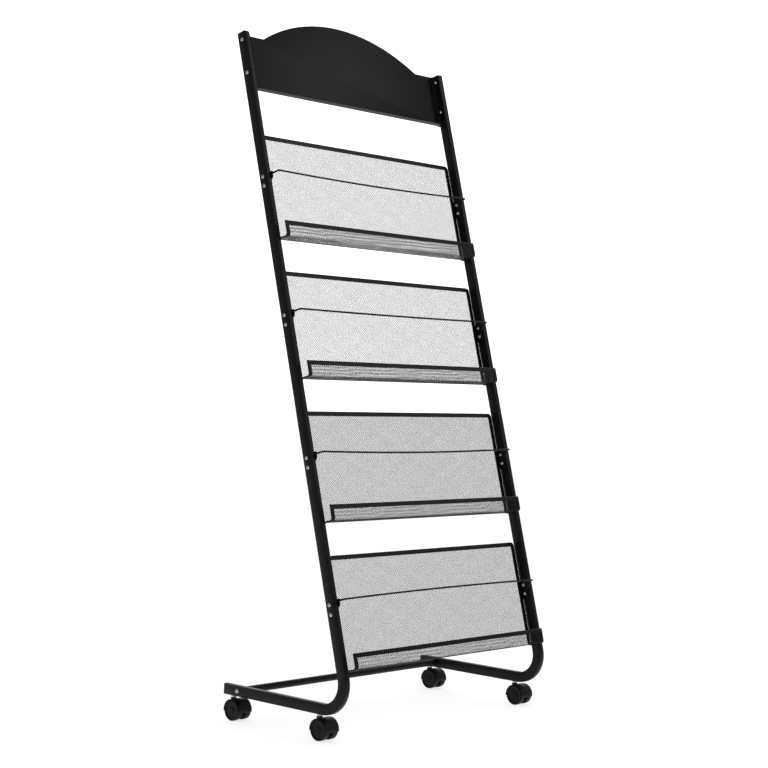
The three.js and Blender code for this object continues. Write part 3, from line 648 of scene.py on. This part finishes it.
def joined(base, steps):
    """Points and faces of base after each (solid, operation) in turn; the working solids are removed."""
    for other, operation in steps:
        modifier = base.modifiers.new("join", "BOOLEAN")
        modifier.operation = operation
        modifier.solver = "EXACT"
        modifier.object = other
    bpy.context.view_layer.update()
    shape = base.evaluated_get(bpy.context.evaluated_depsgraph_get())
    mesh = bpy.data.meshes.new_from_object(shape)
    points = np.array([v.co for v in mesh.vertices]) / MM
    faces = [tuple(p.vertices) for p in mesh.polygons]
    for obj in [base] + [other for other, _ in steps]:
        data = obj.data
        bpy.data.objects.remove(obj)
        bpy.data.meshes.remove(data)
    bpy.data.meshes.remove(mesh)
    return points, faces


def hood_section():
    """(across, radius) round the hood's shell: crowned, with round outer and chamfered inner edges."""
    flat = HOOD_HALF - HOOD_EDGE
    places = np.linspace(-flat, flat, CROWN_STEPS + 1)
    crown = [(x, HOOD_OUTER - HOOD_CROWN * (x / HOOD_HALF) ** 2) for x in places]
    low = crown[0][1] - HOOD_EDGE
    section = arc((-flat, low), HOOD_EDGE, math.pi, -QUARTER, HOOD_EDGE_STEPS)
    section += crown[1:-1]
    section += arc((flat, low), HOOD_EDGE, QUARTER, -QUARTER, HOOD_EDGE_STEPS)
    section += [(HOOD_HALF, HOOD_INNER + HOOD_CHAMFER), (HOOD_HALF - HOOD_CHAMFER, HOOD_INNER)]
    section += [(-HOOD_HALF + HOOD_CHAMFER, HOOD_INNER), (-HOOD_HALF, HOOD_INNER + HOOD_CHAMFER)]
    return np.array(section)


def hood_shell():
    """The section turned over the wheels from skirt to skirt, drawn in and thinned at both ends."""
    turns = np.linspace(-HOOD_SKIRT, math.pi + HOOD_SKIRT, HOOD_STEPS + 1)
    step = HOOD_END / HOOD_OUTER
    turns = np.concatenate([[turns[0], turns[0] + step], turns[1:-1], [turns[-1] - step, turns[-1]]])
    across, radius = hood_section().T
    end_across = across - np.sign(across) * HOOD_END
    end_radius = HOOD_MIDDLE + (radius - HOOD_MIDDLE) * HOOD_END_SHARE
    end = [(end_across, end_radius)]
    sections = end + [(across, radius)] * (len(turns) - 2) + end
    rings = []
    for turn, (x, r) in zip(turns, sections):
        ring = np.stack([x, -CASTER_TRAIL + r * math.cos(turn), WHEEL_RADIUS + r * math.sin(turn)], -1)
        rings.append(ring[::-1])
    return loft(rings)


def hood_web():
    """The plate between the wheels: the hood's arch above, the hub below."""
    axle = (-CASTER_TRAIL, WHEEL_RADIUS)
    arch_sweep = math.pi + 2 * HOOD_SKIRT
    hub_sweep = math.pi - 2 * HOOD_SKIRT
    arch = arc(axle, HOOD_MIDDLE, -HOOD_SKIRT, arch_sweep, HOOD_STEPS)
    hub = arc(axle, HUB_RADIUS, math.pi + HOOD_SKIRT, hub_sweep, HUB_STEPS)
    outline = np.array(arch + hub)
    return loft([np.column_stack([np.full(len(outline), x), outline]) for x in (-WEB_HALF, WEB_HALF)])


def upright(profile, steps):
    """A turned solid about the stem's axis from (height, radius)."""
    return loft([r[:, [1, 2, 0]] for r in turned(profile, once_round(steps))])


def axle_rod(radius, half, steps):
    """A round solid on the axle's line, half its length to each side."""
    rings = turned([(-half, radius), (half, radius)], once_round(steps))
    return loft([r + (0.0, -CASTER_TRAIL, WHEEL_RADIUS) for r in rings])


def hood_piece():
    """Shell, web and boss in one, with the holes for the stem and the axle."""
    foot = WHEEL_RADIUS + math.sqrt(HOOD_MIDDLE ** 2 - (CASTER_TRAIL + BOSS_RADIUS) ** 2)
    edge = (BOSS_TOP - BOSS_EDGE, BOSS_RADIUS - BOSS_EDGE)
    profile = [(foot, BOSS_RADIUS)] + arc(edge, BOSS_EDGE, QUARTER, -QUARTER, BOSS_EDGE_STEPS)
    wheel_room = blank(*axle_rod(HOOD_MIDDLE, HOOD_HALF + CUT_MARGIN, WHEEL_ROOM_STEPS))
    boss = blank(*joined(blank(*upright(profile, BOSS_STEPS)), [(wheel_room, "DIFFERENCE")]))
    stem_hole = [(BOSS_TOP - STEM_HOLE_DEPTH, STEM_HOLE), (BOSS_TOP + CUT_MARGIN, STEM_HOLE)]
    return joined(blank(*hood_shell()), [
        (blank(*hood_web()), "UNION"),
        (boss, "UNION"),
        (blank(*upright(stem_hole, STEM_HOLE_STEPS)), "DIFFERENCE"),
        (blank(*axle_rod(AXLE_HOLE, WEB_HALF + CUT_MARGIN, AXLE_HOLE_STEPS)), "DIFFERENCE"),
    ])


# The wheel's outer face from rim to middle, as (depth below the face, radius)
RIM_TO_WEB = ((0.0, 18.1), (0.1, 17.75), (0.35, 17.5), (1.6, 16.9), (1.9, 16.6), (WHEEL_DISH, 16.2))
WEB_TO_HUB = ((WHEEL_DISH, 7.6), (1.9, 7.2), (1.6, 6.95), (0.5, 6.4), (0.15, 6.1), (0.0, 5.6))
HUB_PIT = ((0.0, 3.2), (0.1, 2.95), (0.5, 2.7), (0.6, 2.3), (0.6, WHEEL_TIP))


def wheel_profile():
    """(place along the axle from the inner face, radius), from the bore's blind end to the outer face."""
    shoulder = WHEEL_RADIUS - TREAD_CROWN - TREAD_EDGE
    blind = WHEEL_WIDTH - WHEEL_DISH
    profile = [(blind, WHEEL_TIP), (blind, AXLE_HOLE)]
    profile += [(BORE_EDGE, AXLE_HOLE), (0.0, AXLE_HOLE + BORE_EDGE)]
    profile += arc((TREAD_EDGE, shoulder), TREAD_EDGE, math.pi, -QUARTER, TREAD_EDGE_STEPS)
    profile.append((WHEEL_WIDTH / 2, WHEEL_RADIUS))
    profile += arc((WHEEL_WIDTH - TREAD_EDGE, shoulder), TREAD_EDGE, QUARTER, -QUARTER, TREAD_EDGE_STEPS)
    profile += [(WHEEL_WIDTH - depth, radius) for depth, radius in RIM_TO_WEB + WEB_TO_HUB + HUB_PIT]
    return profile


hood_points, hood_faces = hood_piece()
wheel_rings = turned(wheel_profile(), once_round(WHEEL_STEPS))
for corner in CORNERS:
    low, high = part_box("stem_" + corner)
    origin = np.array(((low.x + high.x) / 2, (low.y + high.y) / 2, 0.0))
    piece = add_piece(f"shaped_hood_{corner}", hood_points * MM + origin, hood_faces,
                      "hood_plastic", "caster_" + corner, CASTER_SMOOTH)
    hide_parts("hood_" + corner)
    for letter, sign in (("a", -1), ("b", 1)):
        label = f"{letter}_{corner}"
        axle_end = (sign * WHEEL_INNER, -CASTER_TRAIL, WHEEL_RADIUS)
        points, faces = loft([r * (sign, sign, 1.0) + axle_end for r in wheel_rings])
        piece = add_piece(f"round_wheel_{label}", points * MM + origin, faces,
                          "wheel_plastic", "wheel_" + label, CASTER_SMOOTH)
        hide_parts("wheel_" + label)

# Floor and background, in metres
WHITE = (1.0, 1.0, 1.0, 1.0)
FLOOR_RADIUS = 40.0
FLOOR_STEPS = 96
FLOOR_DROP = 0.0004
FLOOR_DARK = (0.58, 0.58, 0.58)
FLOOR_LIGHT = (0.62, 0.62, 0.62)
FLOOR_GRAIN = 3.0
FLOOR_ROUGH = 0.9
FLOOR_SPECULAR = 0.1
GLOW_REACH = (1.5, 7.0)
GLOW_NEAR = 0.74
GLOW_FAR = 0.83
SHOWN_STRENGTH = 1.50
BACKDROP_SPAN = (0.45, 0.9)
ROOM_STRENGTH = 0.30
BACKDROP_STRENGTH = 1.30


def pale_floor():
    """A matt round floor that glows, a little more far away, so that it fades into the background."""
    outline = arc((0.0, 0.0), FLOOR_RADIUS, 0.0, math.tau, FLOOR_STEPS)[:-1]
    ring = [(x, y, -FLOOR_DROP) for x, y in outline]
    floor = new_object("floor", ring, [range(FLOOR_STEPS)])
    material, tree, shader = new_material("pale_floor")
    coordinates = tree.nodes.new("ShaderNodeTexCoord").outputs["Object"]
    faint = noise(tree, coordinates, FLOOR_GRAIN, detail=4.0)
    colour = ramp(tree, faint, NOISE_SPAN, FLOOR_DARK, FLOOR_LIGHT)
    tree.links.new(colour, shader.inputs["Base Color"])
    shader.inputs["Roughness"].default_value = FLOOR_ROUGH
    shader.inputs["Specular IOR Level"].default_value = FLOOR_SPECULAR
    shader.inputs["Emission Color"].default_value = WHITE
    reach = tree.nodes.new("ShaderNodeVectorMath")
    reach.operation = "LENGTH"
    tree.links.new(coordinates, reach.inputs[0])
    glow = spread(tree, reach.outputs["Value"], GLOW_REACH, GLOW_NEAR, GLOW_FAR)
    tree.links.new(glow, shader.inputs["Emission Strength"])
    floor.data.materials.append(material)
    return floor


def studio_world():
    """White to the camera; as light, a dim room with a bright backdrop on the side away from it."""
    world = bpy.data.worlds.new("studio")
    world.use_nodes = True
    tree = world.node_tree
    tree.nodes.clear()
    output = tree.nodes.new("ShaderNodeOutputWorld")
    rays = tree.nodes.new("ShaderNodeLightPath")
    shown = tree.nodes.new("ShaderNodeBackground")
    shown.inputs["Color"].default_value = WHITE
    shown.inputs["Strength"].default_value = SHOWN_STRENGTH
    lit = tree.nodes.new("ShaderNodeBackground")
    lit.inputs["Color"].default_value = WHITE
    towards = tree.nodes.new("ShaderNodeVectorMath")
    towards.operation = "DOT_PRODUCT"
    towards.inputs[1].default_value = (look.x, look.y, 0.0)
    tree.links.new(tree.nodes.new("ShaderNodeTexCoord").outputs["Generated"], towards.inputs[0])
    backdrop = spread(tree, towards.outputs["Value"], BACKDROP_SPAN, ROOM_STRENGTH, BACKDROP_STRENGTH)
    tree.links.new(backdrop, lit.inputs["Strength"])
    choose = tree.nodes.new("ShaderNodeMixShader")
    tree.links.new(rays.outputs["Is Camera Ray"], choose.inputs["Fac"])
    tree.links.new(lit.outputs["Background"], choose.inputs[1])
    tree.links.new(shown.outputs["Background"], choose.inputs[2])
    tree.links.new(choose.outputs["Shader"], output.inputs["Surface"])
    return world


floor = pale_floor()
bpy.context.scene.world = studio_world()

# Lights, as name, place, target, diameter and power, in metres and watts. The small sheen light stands where
# the header's middle mirrors it to the camera.
LIGHTS = (
    ("key", (2.6, -2.8, 2.6), (0.0, 0.0, 0.8), 2.2, 16.0),
    ("fill", (-2.8, -2.6, 3.0), (0.0, 0.0, 0.7), 2.4, 5.0),
    ("back", (0.5, 3.2, 3.0), (0.0, 0.0, 0.8), 2.4, 8.0),
    ("sheen", (0.755, -0.464, 1.948), (-0.07, 0.16, 1.34), 0.3, 0.82),
    ("overhead", (0.0, 0.0, 4.2), (0.0, 0.0, 0.0), 3.0, 10.0),
)
for name, position, target, diameter, power in LIGHTS:
    data = bpy.data.lights.new(name, "AREA")
    data.shape = "DISK"
    data.size = diameter
    data.energy = power
    light = bpy.data.objects.new(name, data)
    light.location = position
    light.rotation_euler = (Vector(target) - Vector(position)).to_track_quat("-Z", "Y").to_euler()
    light.visible_camera = False
    bpy.context.scene.collection.objects.link(light)

bpy.context.scene.view_settings.view_transform = "Standard"
bpy.context.scene.view_settings.look = "None"
